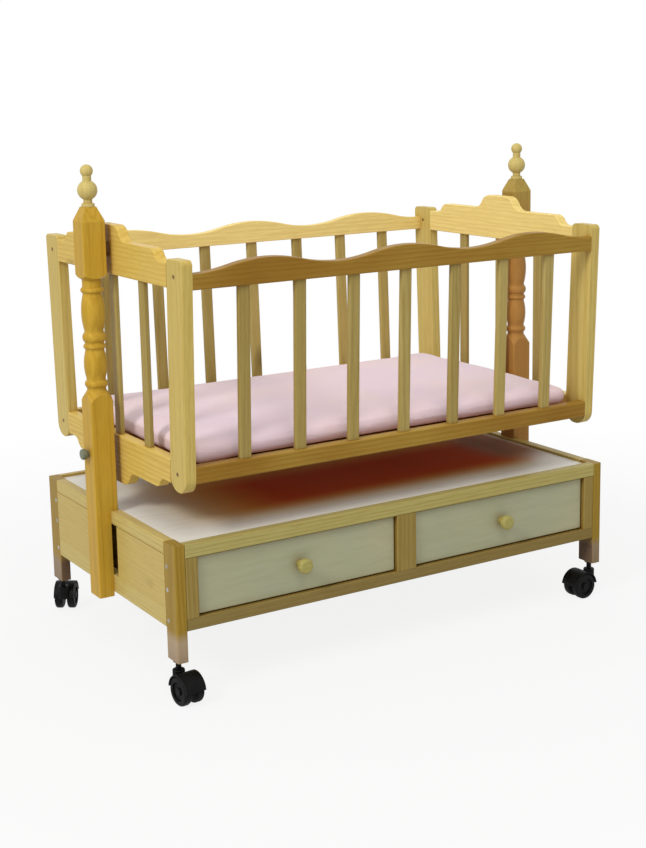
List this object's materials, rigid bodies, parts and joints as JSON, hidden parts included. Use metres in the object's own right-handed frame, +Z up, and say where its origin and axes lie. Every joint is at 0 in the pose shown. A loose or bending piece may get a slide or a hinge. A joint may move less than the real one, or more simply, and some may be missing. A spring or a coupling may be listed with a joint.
{
  "type": "swing cradle",
  "caption": "Wooden baby cradle with wavy slatted sides that swings between two turned uprights on a low drawer stand with casters.",
  "frame": {"origin": "on the floor under the middle of the stand", "axes": "+X along the cradle to the right, -Y the front with the drawers, +Z up"},
  "size_m": [1.0488, 0.6382, 0.9145],
  "materials": {
    "pine_frame": "clear varnish on pine",
    "pine_slats": "clear varnish on pine",
    "pine_upright": "amber varnish on turned pine",
    "pine_stand": "clear varnish on pine",
    "pine_finial": "clear varnish on pale turned wood",
    "plywood": "satin plywood",
    "hardboard": "smooth brown hardboard",
    "laminate_top": "glossy white laminate",
    "laminate_front": "pale laminate",
    "dark_peg": "dark wooden peg",
    "steel": "zinc-plated steel",
    "nylon": "brown nylon",
    "lock_plastic": "moulded knob",
    "mattress_cloth": "pale pink cotton cover",
    "caster_plastic": "black moulding",
    "caster_tread": "black nylon wheel"
  },
  "bodies": {
    "stand": {"pivot_pins": "steel", "stand_end_rails_left": "pine_stand", "stand_end_rails_right": "pine_stand", "stand_end_panels_left": "plywood", "stand_end_panels_right": "plywood", "leg_front_left": "pine_stand", "leg_front_right": "pine_stand", "leg_back_left": "pine_stand", "leg_back_right": "pine_stand", "leg_screws": "steel", "upright_left": "pine_upright", "upright_right": "pine_upright", "finial_left": "pine_finial", "finial_right": "pine_finial", "front_top_rail": "pine_stand", "front_bottom_rail": "pine_stand", "front_stiles": "pine_stand", "stand_back_panel": "plywood", "stand_top_panel": "laminate_top", "stand_floor_panel": "plywood", "drawer_partition": "plywood", "drawer_runners": "plywood", "caster_sockets": "steel"},
    "cradle": {"side_top_rail_front": "pine_frame", "side_top_rail_back": "pine_frame", "side_bottom_rail_front": "pine_frame", "side_bottom_rail_back": "pine_frame", "side_slats_front": "pine_slats", "side_slats_back": "pine_slats", "cradle_end_top_rail_left": "pine_frame", "cradle_end_top_rail_right": "pine_frame", "cradle_end_bottom_rail_left": "pine_frame", "cradle_end_bottom_rail_right": "pine_frame", "end_slats_left": "pine_slats", "end_slats_right": "pine_slats", "corner_post_front_left": "pine_frame", "corner_post_front_right": "pine_frame", "corner_post_back_left": "pine_frame", "corner_post_back_right": "pine_frame", "frame_pegs_upper": "dark_peg", "frame_pegs_lower": "dark_peg", "cradle_floor": "hardboard", "floor_cleats": "plywood", "mattress": "mattress_cloth", "pivot_bushes": "nylon"},
    "swing_lock": {"swing_lock_screw": "lock_plastic"},
    "drawer_left": {"drawer_front_left": "laminate_front", "drawer_box_left": "plywood", "drawer_knob_left": "pine_finial"},
    "drawer_right": {"drawer_front_right": "laminate_front", "drawer_box_right": "plywood", "drawer_knob_right": "pine_finial"},
    "caster_front_left": {"caster_housing_front_left": "caster_plastic"},
    "caster_front_right": {"caster_housing_front_right": "caster_plastic"},
    "caster_back_left": {"caster_housing_back_left": "caster_plastic"},
    "caster_back_right": {"caster_housing_back_right": "caster_plastic"},
    "wheels_front_left": {"caster_wheels_front_left": "caster_tread"},
    "wheels_front_right": {"caster_wheels_front_right": "caster_tread"},
    "wheels_back_left": {"caster_wheels_back_left": "caster_tread"},
    "wheels_back_right": {"caster_wheels_back_right": "caster_tread"}
  },
  "joints": [
    {"name": "cradle_swing", "type": "hinge", "parent": "stand", "child": "cradle", "pos_m": [0, 0, 0.762], "axis": [1, 0, 0], "range_deg": [-18, 18]},
    {"name": "swing_lock_slide", "type": "slide", "parent": "stand", "child": "swing_lock", "axis": [1, 0, 0], "range_m": [0, 0.0035]},
    {"name": "drawer_left_slide", "type": "slide", "parent": "stand", "child": "drawer_left", "axis": [0, -1, 0], "range_m": [0, 0.35]},
    {"name": "drawer_right_slide", "type": "slide", "parent": "stand", "child": "drawer_right", "axis": [0, -1, 0], "range_m": [0, 0.35]},
    {"name": "caster_front_left_swivel", "type": "hinge", "parent": "stand", "child": "caster_front_left", "pos_m": [-0.47, -0.262, 0.06], "axis": [0, 0, 1], "continuous": true},
    {"name": "wheels_front_left_spin", "type": "hinge", "parent": "caster_front_left", "child": "wheels_front_left", "pos_m": [-0.46728, -0.28786, 0.026], "axis": [0.9945, 0.1045, 0], "continuous": true},
    {"name": "caster_front_right_swivel", "type": "hinge", "parent": "stand", "child": "caster_front_right", "pos_m": [0.47, -0.262, 0.06], "axis": [0, 0, 1], "continuous": true},
    {"name": "wheels_front_right_spin", "type": "hinge", "parent": "caster_front_right", "child": "wheels_front_right", "pos_m": [0.44402, -0.26291, 0.026], "axis": [0.0349, -0.9994, 0], "continuous": true},
    {"name": "caster_back_left_swivel", "type": "hinge", "parent": "stand", "child": "caster_back_left", "pos_m": [-0.47, 0.262, 0.06], "axis": [0, 0, 1], "continuous": true},
    {"name": "wheels_back_left_spin", "type": "hinge", "parent": "caster_back_left", "child": "wheels_back_left", "pos_m": [-0.45546, 0.28356, 0.026], "axis": [-0.829, 0.5592, 0], "continuous": true},
    {"name": "caster_back_right_swivel", "type": "hinge", "parent": "stand", "child": "caster_back_right", "pos_m": [0.47, 0.262, 0.06], "axis": [0, 0, 1], "continuous": true},
    {"name": "wheels_back_right_spin", "type": "hinge", "parent": "caster_back_right", "child": "wheels_back_right", "pos_m": [0.496, 0.262, 0.026], "axis": [0, 1, 0], "continuous": true}
  ]
}
